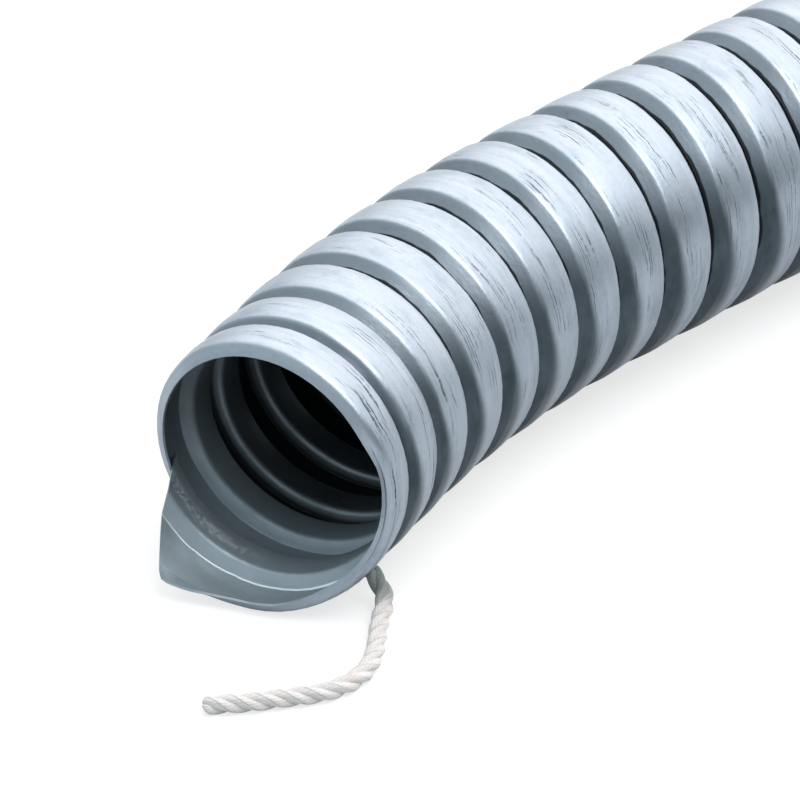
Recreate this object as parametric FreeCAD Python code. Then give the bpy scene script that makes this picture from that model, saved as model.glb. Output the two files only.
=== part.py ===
"""Flexible metal conduit, 50 mm nominal size, cut to about 0.5 m and lying on a level floor.

The conduit is one galvanised steel strip. It is rolled to an S-shaped section and wound as a left-handed
helix, so that the inward hook at the front of each turn drops into the channel of the turn before it. A
twisted cotton packing cord lies in that channel, behind the hook, and its end comes out of the first seam.
At the mouth the strip is cut off slantwise. Its front hook lies open over the last quarter of a turn, and
its end has sprung forward and outward.

Frame: +Z up, the floor at Z = 0, the origin on the floor under the middle of the conduit, +X away from
the open mouth. All sizes are in millimetres, and all angles are in degrees.
"""
import FreeCAD
import Part

import math
import os

from FreeCAD import Vector

# Sizes of the rolled strip, with offsets measured along the centre line from the tip of the pressed hook
OUTER_DIAMETER = 58.7       # over the crests, at their front edge
BORE_DIAMETER = 51.0        # inside the inner bands
STRIP_THICKNESS = 0.5
CREST_WIDTH = 11.2          # from that tip to the crest's back corner
CREST_FALL = 0.45           # how much lower the crest's back corner is than its front edge
HOOK_DEPTH = 2.5            # how far the front hook reaches inwards from the crest
SHOULDER_SETBACK = 1.4      # from that tip to the crest's front edge
HOOK_PULL = 1.6             # how much further the hook's tip is pulled forward where the turns are drawn out
RISER_RUN = 0.9             # length along the centre line of the wall from the crest to the inner band
BAND_WIDTH = 7.0            # inner band, from the riser's foot to the back of the back hook
BACK_HOOK_HEIGHT = 2.7      # how far the back hook reaches outwards from the bore

# The winding: the first turns are pushed together, and the rest are drawn out
TURNS = 30.5
PRESSED_PITCH = 12.1
OPEN_PITCH = 16.0
PRESSED_TURNS = 1.7
OPENING_TURNS = 1.0         # over which the pitch grows from the pressed to the open one
STEPS_PER_TURN = 18         # straight chords that stand for each turn
FIRST_STEP_ANGLE = 350.0    # where step 0 is round the mouth: 0 is left, 90 is up, 180 is right

# The cut end of the strip at the mouth, which has sprung forward and outward
OPENED_STEPS = 4            # over which the hook folds from open to closed
CUT_BACK_ANGLE = 2.0        # winding angle of the cut at the back of the inner band
CUT_FRONT_ANGLE = 44.5      # winding angle of the cut at the front hook's tip
HOOK_FOLD_SHARES = (0.0, 0.36, 0.72, 0.94)  # how far the hook is folded down at the steps from the cut
SPRUNG_REACH = 3.6          # how far the end has sprung forward
SPRUNG_FULL_ANGLE = 70.0    # winding angle up to which it has sprung all that way
SPRUNG_LAST_ANGLE = 165.0   # winding angle at which it is back in the even winding
LIFT = 2.6                  # how far the end's front edge has sprung outward at the cut
BACK_LIFT = 0.4             # how far the end's back has sprung outward there
LIFT_FULL_ANGLE = 30.0
LIFT_LAST_ANGLE = 76.0

# The centre line: arcs that follow each other, each with its length and its turn to the right
ARCS = ((40.0, 1.0), (80.0, 15.5), (140.0, 5.0), (240.0, 9.0))
START_HEADING = 18.0        # heading at the mouth, to the left of +X

# The cotton packing cord: flattened in the seam, round where it lies free
CORD_DIAMETER = 3.8
CORD_SIDES = 6              # flat sides that stand for the round cord
PACKED_WIDTH = 2.2
PACKED_HEIGHT = 2.2
PACKED_STEPS = 22           # how far the cord is followed into the closed seam
CORD_CLEARANCE = 0.1        # round the packed cord in its channel
EXIT_CLOCK = 228.0          # where the free end leaves the first seam, round the mouth
EXIT_CLEARANCE = 0.3        # from the crests to the free cord's end face
EXIT_RUN = 3.9              # straight out of the seam

# The free cord's route after its exit: forward along the mouth's heading, left of it, and up from the
# floor, from below the middle of the mouth. The lowest points lie one cord radius above the floor.
CORD_ROUTE = (
    (13.1, -24.9, 2.3),
    (8.3, -26.2, 1.9),
    (2.5, -28.4, 1.9),
    (-3.6, -31.1, 1.9),
    (-10.5, -32.9, 1.9),
    (-16.6, -32.2, 1.9),
    (-21.9, -29.6, 1.9),
    (-25.9, -25.4, 1.9),
    (-29.2, -21.2, 1.9),
    (-32.2, -17.9, 1.9),
    (-35.2, -13.4, 1.9),
    (-38.0, -9.0, 1.9),
)
ARC_SHARE = 0.45            # of the shorter run that each bend of the free cord takes up

UP = Vector(0, 0, 1)


def centre_frame(station):
    """Centre point, forward and left directions at a length along the centre line, which may lie outside it."""
    heading = math.radians(START_HEADING)
    centre = Vector(0, 0, OUTER_DIAMETER / 2)
    left_over = station
    for number, (length, turn) in enumerate(ARCS):
        rate = -math.radians(turn) / length
        is_last = number == len(ARCS) - 1
        run = left_over if is_last or left_over < length else length
        new_heading = heading + rate * run
        centre.x += (math.sin(new_heading) - math.sin(heading)) / rate
        centre.y -= (math.cos(new_heading) - math.cos(heading)) / rate
        heading = new_heading
        left_over -= run
        if left_over <= 0:
            break
    forward = Vector(math.cos(heading), math.sin(heading), 0)
    left = Vector(-math.sin(heading), math.cos(heading), 0)
    return centre, forward, left


def opened_turns(angle):
    """Turns for which the pitch has grown, and turns that are fully drawn out, up to a winding angle."""
    turns = angle / 360 - PRESSED_TURNS
    return min(max(turns, 0), OPENING_TURNS), max(turns - OPENING_TURNS, 0)


def eased_share(angle, full_angle, last_angle):
    """1 up to the full angle, 0 from the last angle on, with a soft change between them."""
    share = min(max((last_angle - angle) / (last_angle - full_angle), 0), 1)
    return share * share * (3 - 2 * share)


def winding_station(angle):
    """How far the winding has gone along the centre line at a winding angle."""
    opening, opened = opened_turns(angle)
    grown = (OPEN_PITCH - PRESSED_PITCH) * (opening ** 2 / (2 * OPENING_TURNS) + opened)
    sprung = SPRUNG_REACH * eased_share(angle, SPRUNG_FULL_ANGLE, SPRUNG_LAST_ANGLE)
    return PRESSED_PITCH * angle / 360 + grown - sprung


def wound_point(angle, offset, radius):
    centre, forward, left = centre_frame(winding_station(angle))
    clock = math.radians(FIRST_STEP_ANGLE - angle)
    outward = left * math.cos(clock) + UP * math.sin(clock)
    front_share = 1 - min(max(offset / CREST_WIDTH, 0), 1)
    lift = BACK_LIFT + (LIFT - BACK_LIFT) * front_share ** 2
    lifted_radius = radius + lift * eased_share(angle, LIFT_FULL_ANGLE, LIFT_LAST_ANGLE)
    return centre + forward * offset + outward * lifted_radius


def strip_section(folded, drawn_out):
    """The strip's closed outline as (offset, radius).

    folded is 0 where the front hook lies open and 1 where it is folded down, and drawn_out is 0 where the
    turns are pushed together and 1 where they are drawn out.
    """
    t = STRIP_THICKNESS
    crest = OUTER_DIAMETER / 2
    band = BORE_DIAMETER / 2
    low_crest = crest - CREST_FALL
    foot = CREST_WIDTH + RISER_RUN
    back = foot + BAND_WIDTH
    lean = SHOULDER_SETBACK + HOOK_PULL * drawn_out
    fold = folded * math.atan2(HOOK_DEPTH, lean)
    length = math.hypot(HOOK_DEPTH, lean)
    inward = (math.sin(fold), -math.cos(fold))
    bend = t * math.tan(fold / 2)
    tip = (SHOULDER_SETBACK - math.cos(fold) * length, crest - math.sin(fold) * length)
    return [
        (tip[0] + inward[0] * t, tip[1] + inward[1] * t),
        tip,
        (SHOULDER_SETBACK, crest),
        (CREST_WIDTH, low_crest),
        (foot, band + t),
        (back - t, band + t),
        (back - t, band + BACK_HOOK_HEIGHT),
        (back, band + BACK_HOOK_HEIGHT),
        (back, band),
        (foot - t, band),
        (CREST_WIDTH - t, low_crest - t),
        (SHOULDER_SETBACK + bend, crest - t),
    ]


def cut_angle(offset, radius):
    """Winding angle of the slanting cut across the strip at a point of its section."""
    back = CREST_WIDTH + RISER_RUN + BAND_WIDTH
    rise = (OUTER_DIAMETER - BORE_DIAMETER) / 2
    share = (back - offset + radius - BORE_DIAMETER / 2) / (back + HOOK_DEPTH + rise)
    return CUT_BACK_ANGLE + (CUT_FRONT_ANGLE - CUT_BACK_ANGLE) * share


def strip_station(step):
    """The strip's outline in space at a step of the winding, sheared to the slanting cut near the mouth."""
    angle = 360 * step / STEPS_PER_TURN
    drawn_out = (opened_turns(angle)[0] / OPENING_TURNS) ** 2
    if step >= OPENED_STEPS:
        return [wound_point(angle, offset, radius) for offset, radius in strip_section(1.0, drawn_out)]
    closed_angle = 360 * OPENED_STEPS / STEPS_PER_TURN
    points = []
    for offset, radius in strip_section(HOOK_FOLD_SHARES[step], drawn_out):
        start = cut_angle(offset, radius)
        sheared = start + (closed_angle - start) * step / OPENED_STEPS
        points.append(wound_point(sheared, offset, radius))
    return points


def facet(corners):
    """The face between four corners, given in order round it, which need not be flat."""
    a, b, c, d = corners
    surface = Part.BSplineSurface()
    surface.buildFromPolesMultsKnots([[a, b], [d, c]], [2, 2], [2, 2], [0, 1], [0, 1], False, False, 1, 1)
    return surface.toShape()


def end_face(outline):
    """The face that closes an end, which is not flat where the strip is cut slantwise."""
    return Part.makeFilledFace(Part.makePolygon(outline + outline[:1]).Edges)


def wound_solid(outlines):
    """A solid through outlines with the same number of points, with straight chords between them."""
    faces = [end_face(outlines[0]), end_face(outlines[-1])]
    for near, far in zip(outlines, outlines[1:]):
        for side in range(len(near)):
            following = (side + 1) % len(near)
            faces.append(facet((near[side], near[following], far[following], far[side])))
    shell = Part.makeShell(faces)
    shell.sewShape()
    solid = Part.makeSolid(shell)
    if solid.Volume < 0:
        solid.reverse()
    return solid


def wound_strip():
    steps = int(TURNS * STEPS_PER_TURN)
    return wound_solid([strip_station(step) for step in range(steps + 1)])


def packed_cord():
    """The cord flattened between the inner band and the back hook, from where its free end leaves."""
    high = CREST_WIDTH + RISER_RUN + BAND_WIDTH - STRIP_THICKNESS - CORD_CLEARANCE
    low = high - PACKED_WIDTH
    inner = BORE_DIAMETER / 2 + STRIP_THICKNESS + CORD_CLEARANCE
    outer = inner + PACKED_HEIGHT
    outline = ((low, inner), (low, outer), (high, outer), (high, inner))
    first_step = math.ceil((FIRST_STEP_ANGLE - EXIT_CLOCK) * STEPS_PER_TURN / 360)
    outlines = []
    for step in range(first_step, first_step + PACKED_STEPS + 1):
        angle = 360 * step / STEPS_PER_TURN
        outlines.append([wound_point(angle, offset, radius) for offset, radius in outline])
    return wound_solid(outlines)


def cord_points():
    """The free cord's route: out of the seam at its exit, then over the floor."""
    exit_angle = FIRST_STEP_ANGLE - EXIT_CLOCK
    next_turn = winding_station(exit_angle + 360) - winding_station(exit_angle)
    seam = (CREST_WIDTH + next_turn + SHOULDER_SETBACK) / 2
    exit_radius = OUTER_DIAMETER / 2 + EXIT_CLEARANCE
    points = [wound_point(exit_angle, seam, exit_radius), wound_point(exit_angle, seam, exit_radius + EXIT_RUN)]
    centre, forward, left = centre_frame(0.0)
    for ahead, aside, height in CORD_ROUTE:
        point = centre + forward * ahead + left * aside
        points.append(Vector(point.x, point.y, height))
    return points


def bend(before, corner, after):
    """The arc that rounds a corner of the route, its radius and how long it is."""
    incoming = corner - before
    outgoing = after - corner
    turn = incoming.getAngle(outgoing)
    reach = ARC_SHARE * min(incoming.Length, outgoing.Length)
    radius = reach / math.tan(turn / 2)
    start = corner + (before - corner).normalize() * reach
    end = corner + (after - corner).normalize() * reach
    to_centre = ((start + end) / 2 - corner).normalize()
    middle = corner + to_centre * (radius / math.cos(turn / 2) - radius)
    return Part.Arc(start, middle, end), radius


def cord_profile(centre, direction):
    """The cord's outline round its start, square to the direction it leaves in."""
    across = direction.cross(UP).normalize()
    upright = across.cross(direction).normalize()
    corners = []
    for side in range(CORD_SIDES):
        angle = 2 * math.pi * side / CORD_SIDES
        corners.append(centre + (across * math.cos(angle) + upright * math.sin(angle)) * CORD_DIAMETER / 2)
    return Part.makePolygon(corners + corners[:1])


def free_cord():
    """The cord from the seam to its cut end: straight runs with tangent arcs between them."""
    points = cord_points()
    edges = []
    radii = []
    last_end = points[0]
    for before, corner, after in zip(points, points[1:], points[2:]):
        arc, radius = bend(before, corner, after)
        edges.append(Part.LineSegment(last_end, arc.StartPoint).toShape())
        edges.append(arc.toShape())
        radii.append(round(radius, 1))
        last_end = arc.EndPoint
    edges.append(Part.LineSegment(last_end, points[-1]).toShape())
    path = Part.Wire(edges)
    profile = cord_profile(points[0], points[1] - points[0])
    tube = path.makePipeShell([profile], True, False)
    if tube.Volume < 0:
        tube.reverse()
    section = Part.Face(profile).Area
    print("cord bend radii", radii)
    print("cord length", round(path.Length, 2), "volume", round(tube.Volume, 2), "of", round(section * path.Length, 2))
    return tube


def main():
    os.makedirs("parts", exist_ok=True)
    pieces = {
        "wound_strip": wound_strip(),
        "packing_cord_in_seam": packed_cord(),
        "packing_cord_end": free_cord(),
    }
    box = pieces["wound_strip"].optimalBoundingBox(False)
    to_origin = Vector(-box.Center.x, -box.Center.y, 0)
    for name, piece in pieces.items():
        piece.translate(to_origin)
        print(name, piece.isValid(), "volume", round(piece.Volume, 1), "faces", len(piece.Faces))
        piece.exportStep("parts/" + name + ".step")
    print("mouth at", centre_frame(0.0)[0] + to_origin, "length along the centre line", winding_station(360 * TURNS))
    print("cord route", [tuple(round(value, 2) for value in point + to_origin) for point in cord_points()])


main()
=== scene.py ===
"""Looks of a cut length of strip-wound flexible metal conduit, with the cotton packing cord of its seam.

The strip is one sheet of zinc-coated steel with an S-shaped section, wound as a left-handed helix. It is
made flat first, as a rolled blank, and a node tree then winds it along the centre line. All sizes are in
metres, and angles are in degrees.
"""

import math

import bpy
from bpy.props import FloatProperty, FloatVectorProperty, IntProperty, PointerProperty
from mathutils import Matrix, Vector, noise


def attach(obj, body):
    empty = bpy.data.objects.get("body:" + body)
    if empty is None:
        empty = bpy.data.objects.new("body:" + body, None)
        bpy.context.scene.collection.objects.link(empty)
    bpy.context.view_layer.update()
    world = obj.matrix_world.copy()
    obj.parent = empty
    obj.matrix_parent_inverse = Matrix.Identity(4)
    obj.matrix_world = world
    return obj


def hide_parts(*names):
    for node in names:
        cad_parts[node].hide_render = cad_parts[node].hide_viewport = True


bl_info = {
    "name": "Flexible metal conduit",
    "version": (1, 0, 0),
    "blender": (4, 5, 0),
    "location": "3D View > Sidebar > Conduit",
    "description": "Dresses a cut length of strip-wound conduit and its packing cord",
    "category": "Object",
}

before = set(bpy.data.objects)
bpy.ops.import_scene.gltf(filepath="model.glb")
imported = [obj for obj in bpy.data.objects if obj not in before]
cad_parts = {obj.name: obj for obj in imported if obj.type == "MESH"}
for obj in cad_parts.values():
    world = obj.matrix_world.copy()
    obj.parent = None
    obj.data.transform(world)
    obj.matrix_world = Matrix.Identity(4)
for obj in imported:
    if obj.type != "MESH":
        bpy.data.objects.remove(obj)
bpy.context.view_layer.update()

MM = 0.001
UP = Vector((0, 0, 1))

# The rolled strip, as in the part it dresses
OUTER_RADIUS = 29.35 * MM
BORE_RADIUS = 25.5 * MM
STRIP_THICKNESS = 0.5 * MM
CREST_WIDTH = 11.2 * MM
CREST_FALL = 0.45 * MM
FALL_PLACE = (2.4 * MM, 0.25)   # before the crest's back edge, and the share of the fall reached there
DRAWN_OUT_RISE = 0.6        # the share of the fall that is missing where the turns are drawn out
CROWN = 0.25 * MM           # how much lower the shoulder is than the crest's middle
CROWN_PLACES = ((1.9 * MM, 0.35), (3.6 * MM, 0.02), (5.4 * MM, 0.0))  # past the shoulder, share of CROWN
CREST_BACK_EDGES = ((0.0, 9.9 * MM), (0.55, 10.3 * MM), (1.3, 11.0 * MM), (2.7, 11.8 * MM))  # by turn
EDGE_WAVE = 0.22 * MM
SHOULDER_WAVE = 0.12 * MM
HOOK_DEPTH = 2.5 * MM
SHOULDER_SETBACK = 1.4 * MM
HOOK_PULL = 1.6 * MM
RISER_RUN = 0.9 * MM
BAND_WIDTH = 7.0 * MM
BACK_HOOK_HEIGHT = 2.7 * MM
SHOULDER_ROUNDING = 1.5 * MM
CREST_BACK_ROUNDING = 0.55 * MM
FOOT_ROUNDING = 1.2 * MM
BACK_ROUNDING = 0.4 * MM
SHARP_ANGLE = 50.0          # bends of the surface over this angle are shaded as edges

# The cut at the mouth, as winding angles, and how the hook closes behind it
FIRST_CLOCK = 350.0
CUT_BACK_ANGLE = 2.0
CUT_FRONT_ANGLE = 44.5
CLOSED_ANGLE = 80.0
LEAST_FOLD = 0.08
FOLD_EASE = 1.15
MOUTH_STEPS = 28
CURL = 0.9                  # how much further the hook is curled in on the mouth's right side
CURL_ANGLES = (92.0, 125.0, 180.0, 212.0)

# How far the cut end has sprung forward and outward, and the winding angles over which that dies out
SPRUNG_REACH = 3.6 * MM
SPRUNG_FULL_ANGLE = 70.0
SPRUNG_LAST_ANGLE = 165.0
LIFT = 2.6 * MM
BACK_LIFT = 0.4 * MM
LIFT_FULL_ANGLE = 30.0
LIFT_LAST_ANGLE = 76.0

# Marks on the zinc, painted shade and a painted highlight among them: the turns of the winding, or distances
# across it, over which they come and go
RUBBED_TURN = 0.585         # the share of each turn at which the flank is rubbed and scratched
WALL_SHADE_TURNS = (0.95, 1.25)   # where painted shade on the hook's wall begins, behind the free first turn
GAP_TURNS = (1.35, 1.9)     # where the gaps open and their bottom is painted in shade
LIT_TURNS = (1.32, 1.75)    # where the light from the mouth dies out inside
FAR_END_TURNS = (29.0, 30.3)    # where light comes in again at the far end
BEND_TURNS = (0.03, 0.10, 0.34, 0.42)   # of the painted highlight along the bend behind the crest, inside the mouth
FLUFF_TURNS = (0.0, 0.05, 0.14, 0.21)
FLUFF_ACROSS = (13.0 * MM, 14.0 * MM, 15.0 * MM, 17.0 * MM)

# Colours of those marks, painted shade and a painted highlight among them
SCRATCHED = (0.035, 0.045, 0.055)
# painted shade on the hooks' walls, stronger towards the bottom
WALL_SHADE_COLOUR = (0.045, 0.060, 0.070)
# painted shade at the bottom of the open gaps
GAP_SHADE = (0.006, 0.008, 0.010)
INSIDE_ZINC = (0.30, 0.37, 0.40)
# painted shade on the inner side higher up, away from the light that comes in at the mouth
UPPER_INSIDE_SHADE = (0.020, 0.032, 0.034)
# painted shade deep inside, darkest in the channels under the crests
DEEP_INSIDE_SHADE = (0.006, 0.010, 0.011)
# painted highlight along the inner bend behind the crest
BEND_HIGHLIGHT = (0.93, 0.96, 0.98)
FLUFF = (0.36, 0.39, 0.40)

# The cord's strands; swell, inset and spread are shares of the radius that hard round strands would have
STRAND_SIDES = 24
STRAND_STEP = 0.35 * MM
STRAND_SWELL = 1.34
STRAND_INSET = 0.55         # how far out a strand lies at the cord's tip
STRAND_SPREAD = 0.40        # how much further out it lies along the cord
TIP_LENGTH = 1.7 * MM       # over which a strand is rounded off to its end
TIP_CUT_OFF = 0.8 * MM      # the part of that length which is missing at the exit from the seam
YARNS = 5
YARN_LAY = 2.6 * MM
YARN_DEPTH = 0.035
FINE_YARN_LAY = 0.75 * MM
YARN_SHADE = (0.44, 0.40, 0.375)
BEIGE = (0.60, 0.49, 0.435)

# The centre line: the mouth's place and heading, and arcs as (length, turn to the right)
MOUTH = Vector((-240.652 * MM, -8.287 * MM, OUTER_RADIUS))
MOUTH_HEADING = 18.0
ARCS = ((40 * MM, 1.0), (80 * MM, 15.5), (140 * MM, 5.0), (260 * MM, 9.75))
CENTRE_LINE_STEP = 2 * MM
LEAD_IN = 10 * MM           # of centre line before the mouth, for the end that has sprung forward

# The free cord's route from its exit to its bare end
CORD_ROUTE = (
    (-219.63, -22.33, 7.32), (-218.82, -24.82, 4.42), (-220.50, -27.92, 2.30), (-224.66, -30.64, 1.90),
    (-229.50, -34.52, 1.90), (-234.47, -38.98, 1.90), (-240.47, -42.82, 1.90), (-246.49, -44.04, 1.90),
    (-252.33, -43.21, 1.90), (-257.44, -40.45, 1.90), (-261.87, -37.47, 1.90), (-265.74, -35.26, 1.90),
    (-269.99, -31.91, 1.90), (-274.01, -28.59, 1.90),
)

# The camera's place, seen from the middle of the mouth
CAMERA_AZIMUTH = 44.8       # of its view, to the left of +X
CAMERA_DROP = 30.79         # of its view, below the horizon
CAMERA_DISTANCE = 1.438
CAMERA_LENS = 314.6         # for a sensor 36 wide
MOUTH_IN_VIEW = (-31.06 * MM, -18.97 * MM)  # right of and above the middle of the picture

# The light
SOFTBOX_AZIMUTH = 18.0      # of the room's bright part, to the left of +X
SOFTBOX_HEIGHT = 37.0       # of that part, above the horizon
SOFTBOX_EDGE = (0.36, 0.96)
FILL = (-0.62, 0.36, 0.70)  # direction of the room's weaker light, behind the camera and to its left
FILL_EDGE = (-0.2, 0.9)
ROOM_STRENGTH = 0.25
FILL_STRENGTH = 0.66
SOFTBOX_STRENGTH = 2.15
LAMP_PLACE = Vector((-0.09, -0.47, 1.18))
LAMP_SIZE = 0.9

# The floor, which is painted a little brighter for the camera and glows in part of what it shows
FLOOR_REACH = 8.0
FLOOR_SEEN = (0.93, 0.93, 0.93)
FLOOR_GLOW = 0.72
GLOSSY_SHARE = 0.25


class Link:
    """An output socket that can stand in a sum, so that node maths reads as an expression."""

    def __init__(self, graph, socket):
        self.graph = graph
        self.socket = socket

    def maths(self, operation, *values):
        return self.graph.node("ShaderNodeMath", {"operation": operation}, dict(enumerate(values)))

    def __add__(self, other):
        return self.maths("ADD", self, other)

    def __radd__(self, other):
        return self.maths("ADD", other, self)

    def __sub__(self, other):
        return self.maths("SUBTRACT", self, other)

    def __rsub__(self, other):
        return self.maths("SUBTRACT", other, self)

    def __mul__(self, other):
        return self.maths("MULTIPLY", self, other)

    def __truediv__(self, other):
        return self.maths("DIVIDE", self, other)

    def clamped(self):
        return self.maths("MINIMUM", self.maths("MAXIMUM", self, 0.0), 1.0)

    def between(self, low, high):
        """0 below low and 1 above high, with a soft change between them."""
        sockets = {"Value": self, "From Min": low, "From Max": high}
        return self.graph.node("ShaderNodeMapRange", {"interpolation_type": "SMOOTHSTEP"}, sockets)

    def output(self, name):
        return Link(self.graph, self.socket.node.outputs[name])


class Graph:
    """The nodes of one material, world or shape."""

    def __init__(self, tree):
        self.tree = tree
        tree.nodes.clear()

    def node(self, kind, settings=None, sockets=None, output=0):
        """A node of one kind: its settings come first, then the values or links of its sockets."""
        made = self.tree.nodes.new(kind)
        for name, value in (settings or {}).items():
            setattr(made, name, value)
        for name, value in (sockets or {}).items():
            if isinstance(value, Link):
                self.tree.links.new(value.socket, made.inputs[name])
            else:
                made.inputs[name].default_value = value
        return Link(self, made.outputs[output]) if made.outputs else made

    def mixed(self, share, first, second):
        """Two colours mixed, with the share of the second."""
        sockets = {0: share, 6: first, 7: second}
        return self.node("ShaderNodeMix", {"data_type": "RGBA"}, sockets, output=2)

    def vector(self, x, y, z):
        return self.node("ShaderNodeCombineXYZ", None, {0: x, 1: y, 2: z})

    def noise(self, vector, scale, detail=2.0, roughness=0.5):
        sockets = {"Vector": vector, "Scale": scale, "Detail": detail, "Roughness": roughness}
        return self.node("ShaderNodeTexNoise", None, sockets)


def rgba(colour):
    return (*colour, 1.0)


def new_material(name):
    material = bpy.data.materials.new(name)
    material.use_nodes = True
    return material, Graph(material.node_tree)


def finish_surface(graph, surface):
    graph.node("ShaderNodeOutputMaterial", None, {"Surface": surface})


def centre_at(station):
    """Centre point and forward direction at a length along the centre line."""
    heading = math.radians(MOUTH_HEADING)
    centre = MOUTH.copy()
    left_over = station
    for number, (length, turn) in enumerate(ARCS):
        rate = -math.radians(turn) / length
        run = left_over if left_over < length or number == len(ARCS) - 1 else length
        new_heading = heading + rate * run
        centre.x += (math.sin(new_heading) - math.sin(heading)) / rate
        centre.y -= (math.cos(new_heading) - math.cos(heading)) / rate
        heading = new_heading
        left_over -= run
        if left_over <= 0:
            break
    return centre, Vector((math.cos(heading), math.sin(heading), 0))


def mesh_object(name, points, faces, material, smooth=True):
    mesh = bpy.data.meshes.new(name)
    mesh.from_pydata(points, [], faces)
    mesh.update()
    if smooth:
        mesh.shade_smooth()
    piece = bpy.data.objects.new(name, mesh)
    bpy.context.scene.collection.objects.link(piece)
    mesh.materials.append(material)
    return piece


def plain_mesh(piece, name):
    """The evaluated object as a plain mesh object, with the object it came from removed."""
    shown = piece.evaluated_get(bpy.context.evaluated_depsgraph_get())
    mesh = bpy.data.meshes.new_from_object(shown)
    bpy.data.objects.remove(piece)
    mesh.name = name
    made = bpy.data.objects.new(name, mesh)
    bpy.context.scene.collection.objects.link(made)
    return made


def set_input(modifier, name, value):
    """Sets a shape tree's input, which goes by its socket's identifier."""
    for socket in modifier.node_group.interface.items_tree:
        if socket.item_type == "SOCKET" and socket.in_out == "INPUT" and socket.name == name:
            modifier[socket.identifier] = value
            return
    raise KeyError(name)


def shape_tree(name, inputs):
    """A new shape tree with geometry in and out and other inputs given as (name, socket type)."""
    tree = bpy.data.node_groups.new(name, "GeometryNodeTree")
    tree.interface.new_socket("Geometry", in_out="INPUT", socket_type="NodeSocketGeometry")
    for label, kind in inputs:
        tree.interface.new_socket(label, in_out="INPUT", socket_type=kind)
    tree.interface.new_socket("Geometry", in_out="OUTPUT", socket_type="NodeSocketGeometry")
    graph = Graph(tree)
    return tree, graph, graph.node("NodeGroupInput")


def finish_shape(graph, geometry, material):
    real = graph.node("GeometryNodeRealizeInstances", None, {"Geometry": geometry})
    painted = graph.node("GeometryNodeSetMaterial", None, {"Geometry": real, "Material": material})
    graph.node("NodeGroupOutput", None, {"Geometry": painted})


class StripSettings(bpy.types.PropertyGroup):
    """The winding and the zinc finish."""
    turns: FloatProperty(name="Turns", description="Turns of the winding", default=30.5)
    pressed_pitch: FloatProperty(
        name="Pressed pitch", description="Pitch of the turns that are pushed together",
        default=12.1 * MM, unit="LENGTH", precision=4)
    open_pitch: FloatProperty(
        name="Open pitch", description="Pitch of the turns that are drawn out",
        default=16.0 * MM, unit="LENGTH", precision=4)
    pressed_turns: FloatProperty(
        name="Pressed turns", description="Turns pushed together at the mouth", default=1.7)
    opening_turns: FloatProperty(
        name="Opening turns", description="Turns over which the pitch grows", default=1.0)
    play: FloatProperty(
        name="Play", description="How far the turns stray from an even winding",
        default=0.25 * MM, unit="LENGTH", precision=4)
    steps: IntProperty(name="Steps", description="Steps to a turn", default=60)
    zinc: FloatVectorProperty(
        name="Zinc", description="Colour of the bright zinc", subtype="COLOR", default=(0.350, 0.392, 0.445))
    dull_zinc: FloatVectorProperty(
        name="Dull zinc", description="Colour of the dull streaks", subtype="COLOR",
        default=(0.235, 0.275, 0.315))


class CordSettings(bpy.types.PropertyGroup):
    """The twisted cotton cord."""
    diameter: FloatProperty(
        name="Diameter", description="Diameter over the strands",
        default=3.8 * MM, unit="LENGTH", precision=4)
    strands: IntProperty(name="Strands", description="Strands twisted together", default=3)
    lay: FloatProperty(
        name="Lay", description="Length in which a strand goes once round the cord",
        default=15.0 * MM, unit="LENGTH", precision=4)
    cotton: FloatVectorProperty(
        name="Cotton", description="Colour of the clean cotton", subtype="COLOR", default=(0.62, 0.585, 0.57))
    # colour of the painted shade on the cord where it comes out from under the conduit
    seam_shade: FloatVectorProperty(
        name="Seam shade", description="Colour of the cotton at the seam", subtype="COLOR",
        default=(0.17, 0.20, 0.19))


class StageSettings(bpy.types.PropertyGroup):
    """The floor and the light."""
    floor: FloatVectorProperty(
        name="Floor", description="Colour of the floor", subtype="COLOR", default=(0.60, 0.62, 0.63))
    softbox: FloatVectorProperty(
        name="Softbox", description="Colour of the bright part of the room", subtype="COLOR",
        default=(1.0, 0.975, 0.97))
    room: FloatVectorProperty(
        name="Room", description="Colour of the rest of the room", subtype="COLOR",
        default=(0.84, 0.95, 1.0))
    overhead: FloatProperty(
        name="Overhead lamp", description="Power of the large lamp", default=12.0, unit="POWER")


class StripPlace:
    """Where a point of the strip lies along and across it, past its crest's back edge and above the floor."""

    def __init__(self, graph):
        place = graph.node("ShaderNodeAttribute", {"attribute_name": "strip_place"}, None, "Vector")
        parts = graph.node("ShaderNodeSeparateXYZ", None, {0: place})
        coordinates = graph.node("ShaderNodeTexCoord", None, None, "Object")
        self.graph = graph
        self.along = parts
        self.across = parts.output("Y")
        self.inside = parts.output("Z")
        self.outside = 1.0 - self.inside
        self.turn = self.along / (2 * math.pi * OUTER_RADIUS)
        self.past_crest = graph.node("ShaderNodeAttribute", {"attribute_name": "past_crest"}, None, "Fac")
        self.height = graph.node("ShaderNodeSeparateXYZ", None, {0: coordinates}, 2)

    def noise(self, along_scale, across_scale, seed, detail, roughness=0.5, shift=0.0):
        """Noise stretched over the strip, with other values on its inner side."""
        across = (self.across + shift) * across_scale
        vector = self.graph.vector(self.along * along_scale, across, self.inside + seed)
        return self.graph.noise(vector, 1.0, detail, roughness)


def within(value, rise_start, rise_end, fall_start, fall_end):
    """1 over a stretch of the value, with soft ends."""
    return value.between(rise_start, rise_end) * (1.0 - value.between(fall_start, fall_end))


def scratches(strip, grain, waver, patches):
    """Fine dark scratches in clusters, most of them on the front of each crest at the rubbed flank."""
    angle = (strip.turn - RUBBED_TURN) * (2 * math.pi)
    rubbed = angle.maths("COSINE", angle).between(0.2, 0.95)
    rubbed = rubbed * (1.0 - strip.across.between(4.0 * MM, 9.0 * MM))
    lines = strip.noise(50.0, 2500.0, 11.0, 2.0, shift=waver * (2.0 * MM))
    marks = lines.between(0.53, 0.66) * (patches + rubbed * 0.16).between(0.59, 0.70)
    return marks * grain.between(0.30, 0.52) * strip.across.between(-0.2 * MM, 0.9 * MM) * strip.outside


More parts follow.
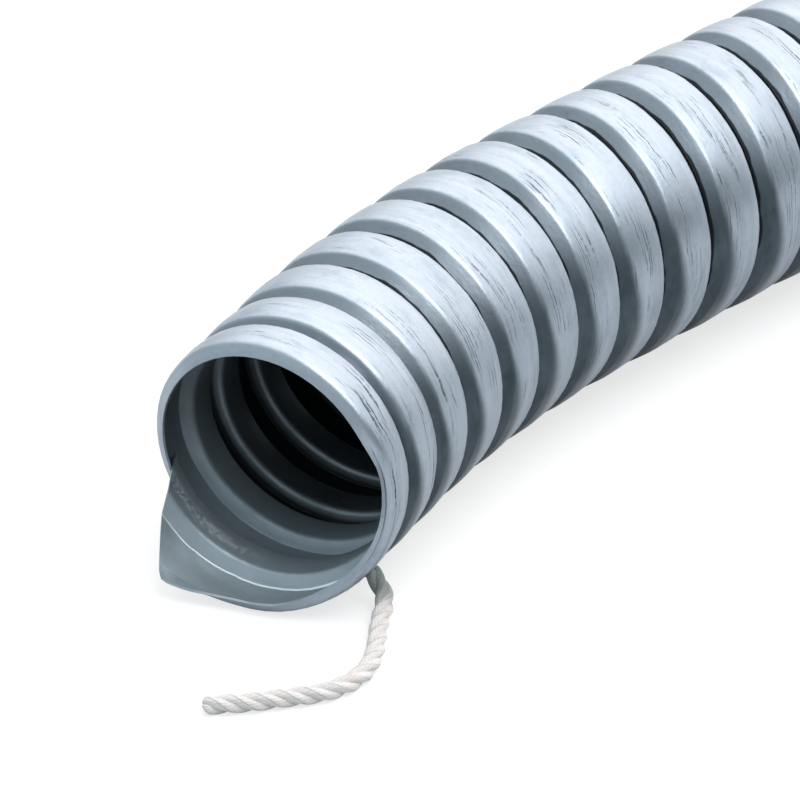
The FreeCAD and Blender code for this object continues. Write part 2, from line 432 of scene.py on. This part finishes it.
def wall_shade_painted(strip, blotch):
    """Painted shade on the hook's wall, stronger below, where it also reaches over the shoulder."""
    low = 1.0 - strip.height.between(33.0 * MM, 55.0 * MM)
    under = 1.0 - strip.height.between(16.0 * MM, 46.0 * MM)
    ragged = strip.across + (blotch - 0.5) * (1.6 * MM)
    # the part of the wall in painted shade, which reaches further over the shoulder lower down
    shade_reach = 1.0 - (ragged - under * (2.2 * MM)).between(-1.1 * MM, under * (3.2 * MM) + 0.35 * MM)
    # how dark the painted shade is: darker towards the bottom, and mottled
    thick = low * 0.58 + 0.38 + (blotch - 0.5) * 0.3
    return (shade_reach * strip.outside * strip.turn.between(*WALL_SHADE_TURNS) * thick).clamped()


def gap_shade_painted(strip, waver):
    """Painted shade on the bottom of the open gaps, with a wavy edge."""
    bottom = 1.0 - (strip.across + (waver - 0.5) * (1.6 * MM)).between(-3.40 * MM, -3.10 * MM)
    return bottom * strip.outside * strip.turn.between(*GAP_TURNS) * 0.93


def cotton_fluff(strip, patches):
    """Cotton fluff caught on the inner band behind the mouth."""
    place = strip.graph.vector(strip.along * 700.0, strip.across * 800.0, 31.0)
    fluff = strip.graph.noise(place, 1.0, 3.0, 0.7)
    fluff = (fluff * 0.7 + patches * 0.4).between(0.50, 0.64) * strip.inside
    return fluff * within(strip.across, *FLUFF_ACROSS) * within(strip.turn, *FLUFF_TURNS)


def zinc_material(settings):
    """Zinc-coated steel: mottled, rubbed and scratched along the winding, with painted shade on the hooks'
    walls, in the gaps and inside, and a painted highlight along a bend inside the mouth.
    """
    material, graph = new_material("galvanised_steel")
    strip = StripPlace(graph)
    grain = strip.noise(800.0, 1000.0, 0.0, 3.0, 0.6)
    drawn = strip.noise(25.0, 1700.0, 5.0, 3.0, 0.6)
    broad = strip.noise(9.0, 420.0, 7.0, 2.0)
    blotch = strip.noise(90.0, 190.0, 3.0, 4.0, 0.62)
    dents = strip.noise(75.0, 130.0, 23.0, 1.0)
    waver = strip.noise(120.0, 60.0, 29.0, 2.0)
    patches = strip.noise(60.0, 210.0, 17.0, 2.0)
    streak = (drawn * 0.5 + broad * 0.5).between(0.36, 0.68)
    scratch = scratches(strip, grain, waver, patches)
    fluff = cotton_fluff(strip, patches)
    lit = 1.0 - strip.turn.between(*LIT_TURNS)
    middle = 1.0 - strip.turn.between(*FAR_END_TURNS)
    deep = (1.0 - lit) * middle
    # painted shade on the inner side, darker higher up, within the reach of the mouth's light
    upper_inside_shade = strip.height.between(6.0 * MM, 36.0 * MM) * 0.74 * (1.0 - deep) * middle
    # painted shade in the channels under the crests, past where the mouth's light reaches
    channel = (1.0 - strip.past_crest.between(0.0, 1.5 * MM)) * deep
    # a painted highlight along the inner bend behind the crest, inside the mouth
    bend = strip.past_crest.maths("ABSOLUTE", strip.past_crest + 0.05 * MM)
    bend = (1.0 - bend.between(0.12 * MM, 0.34 * MM)) * strip.inside * within(strip.turn, *BEND_TURNS)
    zinc = rgba(settings.zinc)
    for share, colour in (
        (streak * 0.32, settings.dull_zinc),
        (blotch.between(0.48, 0.72) * 0.42, settings.dull_zinc),
        (grain.between(0.45, 0.75) * 0.25, settings.dull_zinc),
        (scratch * 0.9, SCRATCHED),
        # painted shade on the hook's wall
        (wall_shade_painted(strip, blotch), WALL_SHADE_COLOUR),
        # painted shade at the bottom of the gaps
        (gap_shade_painted(strip, waver), GAP_SHADE),
        (strip.inside * 0.5, INSIDE_ZINC),
        # painted shade on the inner side higher up
        (strip.inside * upper_inside_shade, UPPER_INSIDE_SHADE),
        # painted shade deep inside and under the crests
        (strip.inside * (channel * 0.55 + deep * 0.35), DEEP_INSIDE_SHADE),
        # painted highlight along the inner bend
        (bend * 0.8, BEND_HIGHLIGHT),
        (fluff * 0.75, FLUFF),
    ):
        zinc = graph.mixed(share, zinc, rgba(colour))
    relief = grain * 0.045 + drawn * 0.012 + dents * 0.22 + blotch * 0.05 - scratch * 0.04 + fluff * 0.03
    bump = graph.node("ShaderNodeBump", None, {"Strength": 1.0, "Distance": MM, "Height": relief})
    roughness = 0.33 + streak * 0.08 + blotch.between(0.4, 0.8) * 0.16
    roughness = roughness + strip.inside * 0.1 + scratch * 0.15 + fluff * 0.2
    metallic = 0.93 - strip.inside * lit * 0.36 - fluff * 0.5
    sockets = {"Base Color": zinc, "Metallic": metallic, "Roughness": roughness, "Normal": bump}
    finish_surface(graph, graph.node("ShaderNodeBsdfPrincipled", None, sockets))
    return material


def cotton_material(settings):
    """Undyed cotton yarn, with painted shade where it comes out from under the conduit at the seam."""
    material, graph = new_material("cotton_cord")
    place = graph.node("ShaderNodeAttribute", {"attribute_name": "cord_place"}, None, "Vector")
    parts = graph.node("ShaderNodeSeparateXYZ", None, {0: place})
    along, round_strand = parts, parts.output("Y")
    coordinates = graph.node("ShaderNodeTexCoord", None, None, "Object")
    stain = graph.noise(coordinates, 160.0, 3.0)
    tint = graph.noise(coordinates, 260.0, 2.0)
    fluff = graph.noise(coordinates, 1900.0, 3.0, 0.7)
    lie = round_strand * 11.0 + along * (2 * math.pi / FINE_YARN_LAY) + stain * 9.0
    yarn = lie.maths("SINE", lie) * 0.5 + 0.5
    # painted shade over the cord's first centimetre, where it comes out from under the conduit
    seam = 1.0 - (along + stain * 0.006 - 0.003).between(0.004, 0.0125)
    cotton = rgba(settings.cotton)
    for share, colour in (
        (yarn * 0.16 + fluff.between(0.35, 0.7) * 0.22, YARN_SHADE),
        (tint.between(0.52, 0.72) * 0.38, BEIGE),
        # painted shade near the seam
        (seam * 0.9, settings.seam_shade),
    ):
        cotton = graph.mixed(share, cotton, rgba(colour))
    relief = yarn * 0.07 + fluff * 0.16
    bump = graph.node("ShaderNodeBump", None, {"Strength": 0.8, "Distance": MM, "Height": relief})
    sockets = {"Base Color": cotton, "Roughness": 0.95, "Normal": bump, "Sheen Weight": 0.3}
    finish_surface(graph, graph.node("ShaderNodeBsdfPrincipled", None, sockets))
    return material


def rounded_line(corners):
    """Points and normals along a line through corners given as (x, y, rounding, arc steps)."""
    made = []
    for number, (x, y, rounding, steps) in enumerate(corners):
        here = Vector((x, y))
        before = here - Vector(corners[number - 1][:2]) if number else None
        after = Vector(corners[number + 1][:2]) - here if number < len(corners) - 1 else None
        first = (before or after).normalized()
        last = (after or before).normalized()
        if not rounding:
            ahead = (first + last).normalized()
            made.append((here, Vector((-ahead.y, ahead.x))))
            continue
        turn = math.atan2(first.x * last.y - first.y * last.x, first.dot(last))
        start = here - first * rounding * math.tan(abs(turn) / 2)
        hand = math.copysign(1.0, turn)
        normal = Vector((-first.y, first.x))
        middle = start + normal * rounding * hand
        for step in range(steps + 1):
            angle = turn * step / steps
            cos, sin = math.cos(angle), math.sin(angle)
            turned = Vector((normal.x * cos - normal.y * sin, normal.x * sin + normal.y * cos))
            made.append((middle - turned * rounding * hand, turned))
    return made


def strip_section(folded, back_edge, drawn_out, shoulder_play):
    """The strip's closed section as (offset, radius, distance across, side, distance past the crest)."""
    half = STRIP_THICKNESS / 2
    crest = OUTER_RADIUS - half
    band = BORE_RADIUS + half
    lean = SHOULDER_SETBACK + HOOK_PULL * drawn_out
    fold = folded * math.atan2(HOOK_DEPTH, lean)
    reach = math.hypot(HOOK_DEPTH, lean)
    shoulder = SHOULDER_SETBACK + half * math.tan(fold / 2) + shoulder_play
    brow = crest - CROWN
    tip = (shoulder - reach * math.cos(fold), brow - (reach - CROWN) * math.sin(fold))
    wall = ((tip[0] + shoulder) / 2, (tip[1] + brow) / 2)
    crest_back = (back_edge - half, crest - CREST_FALL * (1 - DRAWN_OUT_RISE * drawn_out))
    foot = CREST_WIDTH + RISER_RUN - half
    back = CREST_WIDTH + RISER_RUN + BAND_WIDTH - half
    corners = [
        (*tip, 0, 0),
        (*wall, 0, 0),
        (shoulder, brow, SHOULDER_ROUNDING, 6),
        *((shoulder + past, crest - CROWN * share, 0, 0) for past, share in CROWN_PLACES),
        (back_edge - FALL_PLACE[0], crest - CREST_FALL * FALL_PLACE[1], 0, 0),
        (*crest_back, CREST_BACK_ROUNDING, 3),
        (foot, band, FOOT_ROUNDING, 3),
        ((foot + back) / 2, band, 0, 0),
        (back, band, BACK_ROUNDING, 3),
        (back, BORE_RADIUS + BACK_HOOK_HEIGHT, 0, 0),
    ]
    crest_end = back_edge - half - shoulder
    across = -reach
    line = rounded_line(corners)
    outer = []
    inner = []
    for number, (point, normal) in enumerate(line):
        if number:
            across += (point - line[number - 1][0]).length
        outer.append((*(point + normal * half), across, 0.0, across - crest_end))
        inner.append((*(point - normal * half), across, 1.0, across - crest_end))
    return outer + inner[::-1]


def cut_angle(offset, radius):
    """Winding angle of the slanting cut at a point of the strip's section."""
    back = CREST_WIDTH + RISER_RUN + BAND_WIDTH
    share = (back - offset + radius - BORE_RADIUS) / (back + HOOK_DEPTH + OUTER_RADIUS - BORE_RADIUS)
    return CUT_BACK_ANGLE + (CUT_FRONT_ANGLE - CUT_BACK_ANGLE) * share


def eased(value, low, high):
    """0 below low and 1 above high, with a soft change between them."""
    share = min(max((value - low) / (high - low), 0.0), 1.0)
    return share * share * (3 - 2 * share)


def back_edge_at(turns):
    """Where the crest's back edge lies at a turn: it is less worn down where the turns are drawn out."""
    edge = CREST_BACK_EDGES[-1][1]
    for (turn, low), (next_turn, high) in zip(CREST_BACK_EDGES, CREST_BACK_EDGES[1:]):
        if turns < next_turn:
            edge = low + (high - low) * (turns - turn) / (next_turn - turn)
            break
    wave = noise.noise(Vector((turns * 23, 0, 0))) + 0.6 * noise.noise(Vector((turns * 67, 9, 0)))
    return edge + EDGE_WAVE * wave


def strip_blank(settings, material):
    """The rolled strip laid out straight: x is the winding in turns, y the offset and z the radius."""
    points = []
    places = []
    past_crest = []
    count = int((settings.turns - CLOSED_ANGLE / 360) * settings.steps)
    for step in range(MOUTH_STEPS + count + 1):
        share = min(step / MOUTH_STEPS, 1.0)
        folded = max(math.sin(math.pi / 2 * share) ** FOLD_EASE, LEAST_FOLD)
        later = max(step - MOUTH_STEPS, 0) * 360 / settings.steps
        middle_turns = (CLOSED_ANGLE * share + later) / 360
        angle = middle_turns * 360
        curled = eased(angle, *CURL_ANGLES[:2]) * (1 - eased(angle, *CURL_ANGLES[2:]))
        folded *= 1 + CURL * curled
        drawn_out = min(max(middle_turns - settings.pressed_turns, 0) / settings.opening_turns, 1.0) ** 2
        back_edge = back_edge_at(middle_turns)
        shoulder_play = SHOULDER_WAVE * noise.noise(Vector((middle_turns * 19, 4, 0)))
        section = strip_section(folded, back_edge, drawn_out, shoulder_play)
        for offset, radius, across, side, past in section:
            start = cut_angle(offset, radius)
            turns = (start + (CLOSED_ANGLE - start) * share + later) / 360
            points.append((turns, offset, radius))
            places.append((turns * 2 * math.pi * OUTER_RADIUS, across, side))
            past_crest.append(past)
    size = len(points) // (MOUTH_STEPS + count + 1)
    faces = []
    for step in range(MOUTH_STEPS + count):
        near = step * size
        for corner in range(size):
            following = (corner + 1) % size
            faces.append((near + corner, near + following, near + size + following, near + size + corner))
    last = len(points) - size
    for corner in range(size // 2 - 1):
        opposite = size - 1 - corner
        faces.append((corner, opposite, opposite - 1, corner + 1))
        faces.append((last + corner, last + corner + 1, last + opposite - 1, last + opposite))
    blank = mesh_object("strip_blank", points, faces, material)
    attribute = blank.data.attributes.new("strip_place", "FLOAT_VECTOR", "POINT")
    attribute.data.foreach_set("vector", [value for place in places for value in place])
    blank.data.attributes.new("past_crest", "FLOAT", "POINT").data.foreach_set("value", past_crest)
    return blank


def centre_line():
    """The conduit's centre line as a curve, which the winding follows."""
    length = sum(arc[0] for arc in ARCS) + LEAD_IN
    count = int(length / CENTRE_LINE_STEP)
    curve = bpy.data.curves.new("centre_line", "CURVE")
    curve.dimensions = "3D"
    spline = curve.splines.new("POLY")
    spline.points.add(count)
    for number, point in enumerate(spline.points):
        point.co = (*centre_at(number * CENTRE_LINE_STEP - LEAD_IN)[0], 1.0)
    made = bpy.data.objects.new("centre_line", curve)
    bpy.context.scene.collection.objects.link(made)
    return made


def winding_tree(material):
    """Winds a straight blank along a centre line, its turns pressed together at first and then drawn out."""
    inputs = [("Centre Line", "NodeSocketObject")]
    for label in ("Pressed Pitch", "Open Pitch", "Pressed Turns", "Opening Turns", "First Clock", "Play",
                  "Sprung Reach", "Sprung Full Turns", "Sprung Last Turns",
                  "Lift", "Lift Full Turns", "Lift Last Turns", "Lead In", "Crest Width", "Back Lift"):
        inputs.append((label, "NodeSocketFloat"))
    tree, graph, given = shape_tree("wind_strip", inputs)
    parts = graph.node("ShaderNodeSeparateXYZ", None, {0: graph.node("GeometryNodeInputPosition")})
    turns, offset, radius = parts, parts.output("Y"), parts.output("Z")
    pressed_pitch = given.output("Pressed Pitch")
    opening_turns = given.output("Opening Turns")
    past_pressed = turns - given.output("Pressed Turns")
    opening = past_pressed.maths("MAXIMUM", past_pressed, 0.0)
    opening = opening.maths("MINIMUM", opening, opening_turns)
    beyond = past_pressed - opening_turns
    opened = beyond.maths("MAXIMUM", beyond, 0.0)
    opened_turns = opening * opening / (opening_turns * 2.0) + opened
    grown = (given.output("Open Pitch") - pressed_pitch) * opened_turns
    stray = graph.noise(graph.vector(turns * 1.7, 0.0, 5.0), 1.0, 2.0) - 0.5
    free = opening / opening_turns
    settled = turns.between(given.output("Sprung Full Turns"), given.output("Sprung Last Turns"))
    sprung = given.output("Sprung Reach") * (1.0 - settled)
    station = pressed_pitch * turns + grown + stray * free * given.output("Play") * 2.0 - sprung
    lifted = 1.0 - turns.between(given.output("Lift Full Turns"), given.output("Lift Last Turns"))
    to_front = 1.0 - (offset / given.output("Crest Width")).clamped()
    back_lift = given.output("Back Lift")
    radius = radius + (back_lift + (given.output("Lift") - back_lift) * to_front * to_front) * lifted
    line = graph.node("GeometryNodeObjectInfo", None, {"Object": given.output("Centre Line")}, "Geometry")
    sockets = {"Curves": line, "Length": station + given.output("Lead In")}
    sample = graph.node("GeometryNodeSampleCurve", {"mode": "LENGTH"}, sockets, "Position")
    ahead = sample.output("Tangent")
    up = graph.vector(0.0, 0.0, 1.0)
    left = graph.node("ShaderNodeVectorMath", {"operation": "CROSS_PRODUCT"}, {0: up, 1: ahead})
    clock = given.output("First Clock") * (math.pi / 180) - turns * (2 * math.pi)
    placed = sample
    for direction, distance in (
        (left, radius * clock.maths("COSINE", clock)),
        (up, radius * clock.maths("SINE", clock)),
        (ahead, offset),
    ):
        arm = graph.node("ShaderNodeVectorMath", {"operation": "SCALE"}, {0: direction, "Scale": distance})
        placed = graph.node("ShaderNodeVectorMath", {"operation": "ADD"}, {0: placed, 1: arm})
    sockets = {"Geometry": given.output("Geometry"), "Position": placed}
    wound = graph.node("GeometryNodeSetPosition", None, sockets)
    finish_shape(graph, wound, material)
    return tree


class CONDUIT_OT_stage(bpy.types.Operator):
    """Makes the camera, the light and the floor"""
    bl_idname = "conduit.stage"
    bl_label = "Make the stage"

    def execute(self, context):
        settings = context.scene.conduit_stage
        self.add_camera(context)
        self.add_floor(settings)
        self.add_light(context, settings)
        context.scene.view_settings.view_transform = "Standard"
        return {"FINISHED"}

    @staticmethod
    def add_camera(context):
        azimuth = math.radians(CAMERA_AZIMUTH)
        drop = math.radians(CAMERA_DROP)
        level = math.cos(drop)
        ahead = Vector((level * math.cos(azimuth), level * math.sin(azimuth), -math.sin(drop)))
        right = ahead.cross(UP).normalized()
        above = right.cross(ahead)
        data = bpy.data.cameras.new("camera")
        data.lens = CAMERA_LENS
        data.sensor_width = 36.0
        data.clip_end = 50.0
        camera = bpy.data.objects.new("camera", data)
        in_view = MOUTH - ahead * CAMERA_DISTANCE
        camera.location = in_view - right * MOUTH_IN_VIEW[0] - above * MOUTH_IN_VIEW[1]
        camera.rotation_euler = ahead.to_track_quat("-Z", "Y").to_euler()
        context.scene.collection.objects.link(camera)
        context.scene.camera = camera

    @staticmethod
    def add_floor(settings):
        material, graph = new_material("floor")
        rays = graph.node("ShaderNodeLightPath")
        seen = rays + rays.output("Is Glossy Ray") * GLOSSY_SHARE + rays.output("Is Transmission Ray")
        colour = graph.mixed(rays, rgba(settings.floor), rgba(FLOOR_SEEN))
        paint = graph.node("ShaderNodeBsdfDiffuse", None, {"Color": colour})
        white = graph.node("ShaderNodeEmission", None, {"Color": (1, 1, 1, 1), "Strength": 1.0})
        mixed = graph.node("ShaderNodeMixShader", None, {0: seen.clamped() * FLOOR_GLOW, 1: paint, 2: white})
        finish_surface(graph, mixed)
        corners = ((-1, -1), (1, -1), (1, 1), (-1, 1))
        points = [(x * FLOOR_REACH, y * FLOOR_REACH, 0) for x, y in corners]
        mesh_object("floor", points, [(0, 1, 2, 3)], material, smooth=False)

    @staticmethod
    def add_light(context, settings):
        world = bpy.data.worlds.new("studio")
        world.use_nodes = True
        context.scene.world = world
        graph = Graph(world.node_tree)
        direction = graph.node("ShaderNodeTexCoord", None, None, "Generated")
        azimuth = math.radians(SOFTBOX_AZIMUTH)
        height = math.radians(SOFTBOX_HEIGHT)
        level = math.cos(height)
        beyond = (level * math.cos(azimuth), level * math.sin(azimuth), math.sin(height))
        product = {"operation": "DOT_PRODUCT"}
        facing = graph.node("ShaderNodeVectorMath", product, {0: direction, 1: beyond}, "Value")
        aside = graph.node("ShaderNodeVectorMath", product, {0: direction, 1: FILL}, "Value")
        glow = facing.between(*SOFTBOX_EDGE)
        tint = graph.mixed(glow, rgba(settings.room), rgba(settings.softbox))
        strength = ROOM_STRENGTH + aside.between(*FILL_EDGE) * FILL_STRENGTH + glow * SOFTBOX_STRENGTH
        lit = graph.node("ShaderNodeBackground", None, {"Color": tint, "Strength": strength})
        white = graph.node("ShaderNodeBackground", None, {"Color": (1, 1, 1, 1), "Strength": 1.0})
        rays = graph.node("ShaderNodeLightPath")
        mixed = graph.node("ShaderNodeMixShader", None, {0: rays, 1: lit, 2: white})
        graph.node("ShaderNodeOutputWorld", None, {"Surface": mixed})
        data = bpy.data.lights.new("overhead_lamp", "AREA")
        data.size = LAMP_SIZE
        data.energy = settings.overhead
        lamp = bpy.data.objects.new("overhead_lamp", data)
        lamp.location = LAMP_PLACE
        lamp.rotation_euler = (MOUTH - LAMP_PLACE).to_track_quat("-Z", "Y").to_euler()
        context.scene.collection.objects.link(lamp)


def walk(line, step):
    """Points and directions at even steps along a line."""
    lengths = [0.0]
    for a, b in zip(line, line[1:]):
        lengths.append(lengths[-1] + (b - a).length)
    count = int(lengths[-1] / step)
    made = []
    piece = 0
    for number in range(count + 1):
        target = lengths[-1] * number / count
        while piece < len(line) - 2 and lengths[piece + 1] < target:
            piece += 1
        share = (target - lengths[piece]) / max(lengths[piece + 1] - lengths[piece], 1e-9)
        made.append((line[piece].lerp(line[piece + 1], share), target))
    stations = []
    for number, (point, target) in enumerate(made):
        before = made[max(number - 1, 0)][0]
        after = made[min(number + 1, count)][0]
        stations.append((point, (after - before).normalized(), target))
    return stations


def add_strand(line, settings, phase, points, places, faces):
    """Adds one strand of the cord, which goes round the cord's line as it runs along it."""
    radius = settings.diameter / 2 / (1 + 2 / math.sqrt(3))
    stations = walk(line, STRAND_STEP)
    length = stations[-1][2]
    side = stations[0][1].orthogonal().normalized()
    first = len(points)
    for centre, ahead, target in stations:
        side = (side - ahead * side.dot(ahead)).normalized()
        other = ahead.cross(side)
        turn = phase + 2 * math.pi * target / settings.lay
        outward = side * math.cos(turn) + other * math.sin(turn)
        level = ahead.cross(outward)
        to_end = min(length - target, target + TIP_CUT_OFF) / TIP_LENGTH
        closing = math.sqrt(max(1 - max(1 - to_end, 0) ** 2, 0.02))
        thick = radius * STRAND_SWELL * closing
        middle = centre + outward * radius * (STRAND_INSET + STRAND_SPREAD * closing)
        for corner in range(STRAND_SIDES):
            angle = 2 * math.pi * corner / STRAND_SIDES
            yarn = 1 + YARN_DEPTH * math.cos(YARNS * angle + 2 * math.pi * target / YARN_LAY)
            point = middle + (outward * math.cos(angle) + level * math.sin(angle)) * thick * yarn
            points.append(point)
            places.append((target, angle + phase, 0.0))
    for number in range(len(stations) - 1):
        near = first + number * STRAND_SIDES
        for corner in range(STRAND_SIDES):
            following = (corner + 1) % STRAND_SIDES
            faces.append((near + corner, near + following,
                          near + STRAND_SIDES + following, near + STRAND_SIDES + corner))
    last = first + (len(stations) - 1) * STRAND_SIDES
    faces.append(tuple(range(first + STRAND_SIDES - 1, first - 1, -1)))
    faces.append(tuple(range(last, last + STRAND_SIDES)))


class CONDUIT_OT_cord(bpy.types.Operator):
    """Makes the free end of the twisted cotton cord"""
    bl_idname = "conduit.cord"
    bl_label = "Make the packing cord"

    def execute(self, context):
        settings = context.scene.conduit_cord
        line = self.route_line()
        material = cotton_material(settings)
        points, places, faces = [], [], []
        for strand in range(settings.strands):
            add_strand(line, settings, 2 * math.pi * strand / settings.strands, points, places, faces)
        cord = mesh_object("packing_cord", points, faces, material)
        attribute = cord.data.attributes.new("cord_place", "FLOAT_VECTOR", "POINT")
        attribute.data.foreach_set("vector", [value for place in places for value in place])
        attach(cord, "root")
        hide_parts("packing_cord_end", "packing_cord_in_seam")
        return {"FINISHED"}

    @staticmethod
    def route_line():
        """Points read from the route's smooth curve."""
        curve = bpy.data.curves.new("cord_route", "CURVE")
        curve.dimensions = "3D"
        curve.resolution_u = 16
        spline = curve.splines.new("NURBS")
        spline.points.add(len(CORD_ROUTE) - 1)
        for point, place in zip(spline.points, CORD_ROUTE):
            point.co = (*(Vector(place) * MM), 1.0)
        spline.order_u = 3
        spline.use_endpoint_u = True
        route = bpy.data.objects.new("cord_route", curve)
        bpy.context.scene.collection.objects.link(route)
        shown = route.evaluated_get(bpy.context.evaluated_depsgraph_get())
        mesh = bpy.data.meshes.new_from_object(shown)
        line = [vertex.co.copy() for vertex in mesh.vertices]
        bpy.data.meshes.remove(mesh)
        bpy.data.objects.remove(route)
        return line


class CONDUIT_OT_strip(bpy.types.Operator):
    """Rolls the strip and winds it along the conduit's centre line"""
    bl_idname = "conduit.strip"
    bl_label = "Wind the strip"

    def execute(self, context):
        settings = context.scene.conduit_strip
        material = zinc_material(settings)
        blank = strip_blank(settings, material)
        line = centre_line()
        modifier = blank.modifiers.new("wind", "NODES")
        modifier.node_group = winding_tree(material)
        for name, value in {
            "Centre Line": line,
            "Pressed Pitch": settings.pressed_pitch,
            "Open Pitch": settings.open_pitch,
            "Pressed Turns": settings.pressed_turns,
            "Opening Turns": settings.opening_turns,
            "First Clock": FIRST_CLOCK,
            "Play": settings.play,
            "Sprung Reach": SPRUNG_REACH,
            "Sprung Full Turns": SPRUNG_FULL_ANGLE / 360,
            "Sprung Last Turns": SPRUNG_LAST_ANGLE / 360,
            "Lead In": LEAD_IN,
            "Crest Width": CREST_WIDTH,
            "Lift": LIFT,
            "Back Lift": BACK_LIFT,
            "Lift Full Turns": LIFT_FULL_ANGLE / 360,
            "Lift Last Turns": LIFT_LAST_ANGLE / 360,
        }.items():
            set_input(modifier, name, value)
        strip = plain_mesh(blank, "steel_strip")
        bpy.data.objects.remove(line)
        strip.data.set_sharp_from_angle(angle=math.radians(SHARP_ANGLE))
        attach(strip, "root")
        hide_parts("wound_strip")
        return {"FINISHED"}


class CONDUIT_PT_panel(bpy.types.Panel):
    """Sizes, colours and pieces of the conduit"""
    bl_idname = "CONDUIT_PT_panel"
    bl_label = "Flexible conduit"
    bl_space_type = "VIEW_3D"
    bl_region_type = "UI"
    bl_category = "Conduit"

    def draw(self, context):
        scene = context.scene
        for settings in (scene.conduit_stage, scene.conduit_cord, scene.conduit_strip):
            box = self.layout.box()
            for name in settings.__annotations__:
                box.prop(settings, name)
        for operator in OPERATORS:
            self.layout.operator(operator.bl_idname)


OPERATORS = (CONDUIT_OT_stage, CONDUIT_OT_cord, CONDUIT_OT_strip)
CLASSES = (StripSettings, CordSettings, StageSettings, *OPERATORS, CONDUIT_PT_panel)


def register():
    for kind in CLASSES:
        bpy.utils.register_class(kind)
    bpy.types.Scene.conduit_strip = PointerProperty(type=StripSettings)
    bpy.types.Scene.conduit_cord = PointerProperty(type=CordSettings)
    bpy.types.Scene.conduit_stage = PointerProperty(type=StageSettings)


def unregister():
    del bpy.types.Scene.conduit_stage
    del bpy.types.Scene.conduit_cord
    del bpy.types.Scene.conduit_strip
    for kind in reversed(CLASSES):
        bpy.utils.unregister_class(kind)


def main():
    register()
    bpy.ops.conduit.stage()
    bpy.ops.conduit.cord()
    bpy.ops.conduit.strip()


if __name__ == "__main__":
    main()
